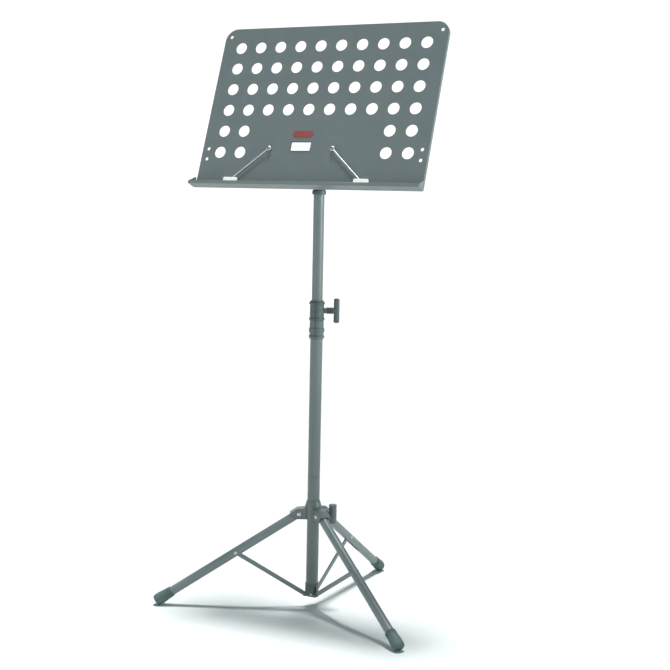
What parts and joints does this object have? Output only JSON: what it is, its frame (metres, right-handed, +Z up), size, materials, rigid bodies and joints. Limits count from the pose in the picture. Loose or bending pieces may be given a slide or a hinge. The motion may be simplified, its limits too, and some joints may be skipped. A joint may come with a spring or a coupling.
{
  "type": "music stand",
  "caption": "Free-standing music stand: perforated tilting desk with shelf and page arms on a telescopic mast, over a folding three-legged base.",
  "frame": {"origin": "on the floor under the mast's axis", "axes": "+Z up along the mast; the desk faces -Y; +X to the right of a reader who faces the desk"},
  "size_m": [0.5657, 0.5015, 1.1812],
  "materials": {
    "painted_steel": "satin powder coat",
    "painted_steel_dark": "satin powder coat",
    "moulded_plastic": "matt moulded nylon",
    "rubber": "matt",
    "zinc_steel": "bright zinc",
    "chrome_wire": "bright",
    "brass": "machined",
    "white_vinyl": "satin",
    "red_enamel": "gloss"
  },
  "bodies": {
    "column": {"outer_tube": "painted_steel", "base_collar": "painted_steel_dark", "collar_rivet": "zinc_steel", "base_rivets": "zinc_steel", "clamp_sleeve": "painted_steel_dark", "clamp_head": "moulded_plastic", "clamp_bush": "moulded_plastic", "clamp_insert": "brass"},
    "strut_rear": {"strut_rear": "painted_steel_dark"},
    "strut_left": {"strut_left": "painted_steel_dark"},
    "strut_right": {"strut_right": "painted_steel_dark"},
    "leg_rear": {"leg_tube_rear": "painted_steel", "leg_plug_rear": "moulded_plastic", "foot_rear": "rubber", "strut_rivet_rear": "zinc_steel"},
    "leg_left": {"leg_tube_left": "painted_steel", "leg_plug_left": "moulded_plastic", "foot_left": "rubber", "strut_rivet_left": "zinc_steel"},
    "leg_right": {"leg_tube_right": "painted_steel", "leg_plug_right": "moulded_plastic", "foot_right": "rubber", "strut_rivet_right": "zinc_steel"},
    "hub": {"hub_body": "painted_steel", "hub_rivets": "zinc_steel", "hub_insert": "brass"},
    "hub_pad": {"hub_pad": "brass"},
    "hub_handle": {"hub_screw": "zinc_steel", "hub_handle": "moulded_plastic"},
    "height_pad": {"height_pad": "brass"},
    "height_handle": {"height_screw": "zinc_steel", "height_handle": "moulded_plastic"},
    "slider": {"guide_bush": "moulded_plastic"},
    "mast": {"inner_tube": "painted_steel", "tilt_socket": "moulded_plastic", "socket_pin": "zinc_steel"},
    "desk": {"desk_panel": "painted_steel", "desk_shelf": "painted_steel", "tilt_bracket": "painted_steel_dark", "tilt_bolt": "zinc_steel", "friction_washers": "moulded_plastic", "steel_washers": "zinc_steel", "label_plate": "white_vinyl", "label_stripe": "red_enamel", "arm_screws": "zinc_steel", "arm_nuts": "zinc_steel", "arm_washers": "zinc_steel"},
    "tilt_knob": {"tilt_knob": "moulded_plastic", "knob_insert": "brass"},
    "page_arm_left": {"page_arm_left": "chrome_wire", "arm_pad_left": "white_vinyl"},
    "page_arm_right": {"page_arm_right": "chrome_wire", "arm_pad_right": "white_vinyl"}
  },
  "joints": [
    {"name": "tripod_fold", "type": "hinge", "parent": "column", "child": "strut_rear", "pos_m": [0.00046, 0.01449, 0.0265], "axis": [0.9995, -0.0314, 0], "range_deg": [0, 50.4]},
    {"name": "leg_rear_on_strut", "type": "hinge", "parent": "strut_rear", "child": "leg_rear", "pos_m": [0.00495, 0.15753, 0.11212], "axis": [-0.9995, 0.0314, 0], "range_deg": [0, 103.47]},
    {"name": "hub_on_leg_rear", "type": "hinge", "parent": "leg_rear", "child": "hub", "pos_m": [0.00091, 0.02899, 0.195], "axis": [0.9995, -0.0314, 0], "range_deg": [0, 53.07]},
    {"name": "leg_left_on_hub", "type": "hinge", "parent": "hub", "child": "leg_left", "pos_m": [-0.02556, -0.0137, 0.195], "axis": [0.4726, -0.8813, 0], "range_deg": [0, 53.07]},
    {"name": "strut_left_on_collar", "type": "hinge", "parent": "column", "child": "strut_left", "pos_m": [-0.01278, -0.00685, 0.0265], "axis": [-0.4726, 0.8813, 0], "range_deg": [0, 50.45]},
    {"name": "leg_right_on_hub", "type": "hinge", "parent": "hub", "child": "leg_right", "pos_m": [0.02465, -0.01528, 0.195], "axis": [0.527, 0.8499, 0], "range_deg": [0, 53.07]},
    {"name": "strut_right_on_collar", "type": "hinge", "parent": "column", "child": "strut_right", "pos_m": [0.01232, -0.00764, 0.0265], "axis": [-0.527, -0.8499, 0], "range_deg": [0, 50.45]},
    {"name": "hub_pad_slide", "type": "slide", "parent": "hub", "child": "hub_pad", "axis": [0.866, 0.5, 0], "range_m": [0, 0.0016]},
    {"name": "hub_screw_turn", "type": "hinge", "parent": "hub_pad", "child": "hub_handle", "pos_m": [0.01732, 0.01, 0.194], "axis": [0.866, 0.5, 0], "range_deg": [0, 540]},
    {"name": "height_pad_slide", "type": "slide", "parent": "column", "child": "height_pad", "axis": [0.866, 0.5, 0], "range_m": [0, 0.0016]},
    {"name": "height_screw_turn", "type": "hinge", "parent": "height_pad", "child": "height_handle", "pos_m": [0.01732, 0.01, 0.611], "axis": [0.866, 0.5, 0], "range_deg": [0, 540]},
    {"name": "height_slide", "type": "slide", "parent": "column", "child": "slider", "axis": [0, 0, 1], "range_m": [-0.19, 0.22]},
    {"name": "desk_swivel", "type": "hinge", "parent": "slider", "child": "mast", "pos_m": [0, 0, 0.7], "axis": [0, 0, 1], "continuous": true},
    {"name": "desk_tilt", "type": "hinge", "parent": "mast", "child": "desk", "pos_m": [0, 0, 0.892], "axis": [-1, 0, 0], "range_deg": [-20, 65]},
    {"name": "knob_turn", "type": "hinge", "parent": "desk", "child": "tilt_knob", "pos_m": [0.022, 0, 0.892], "axis": [1, 0, 0], "range_deg": [0, 360]},
    {"name": "page_arm_left_swing", "type": "hinge", "parent": "desk", "child": "page_arm_left", "pos_m": [-0.094, -0.04028, 0.93281], "axis": [0, 0.9367, -0.3502], "range_deg": [-6, 130]},
    {"name": "page_arm_right_swing", "type": "hinge", "parent": "desk", "child": "page_arm_right", "pos_m": [0.047, -0.04028, 0.93281], "axis": [0, -0.9367, 0.3502], "range_deg": [-6, 130]}
  ],
  "couplings": [
    {"joint": "leg_rear_on_strut", "follows": "tripod_fold", "ratio": 2.0518},
    {"joint": "hub_on_leg_rear", "follows": "tripod_fold", "ratio": 1.0518},
    {"joint": "leg_left_on_hub", "follows": "tripod_fold", "ratio": 1.0518},
    {"joint": "strut_left_on_collar", "follows": "tripod_fold", "ratio": 1},
    {"joint": "leg_right_on_hub", "follows": "tripod_fold", "ratio": 1.0518},
    {"joint": "strut_right_on_collar", "follows": "tripod_fold", "ratio": 1},
    {"joint": "hub_pad_slide", "follows": "hub_screw_turn", "m_per_rad": 0.00015915},
    {"joint": "height_pad_slide", "follows": "height_screw_turn", "m_per_rad": 0.00015915}
  ]
}
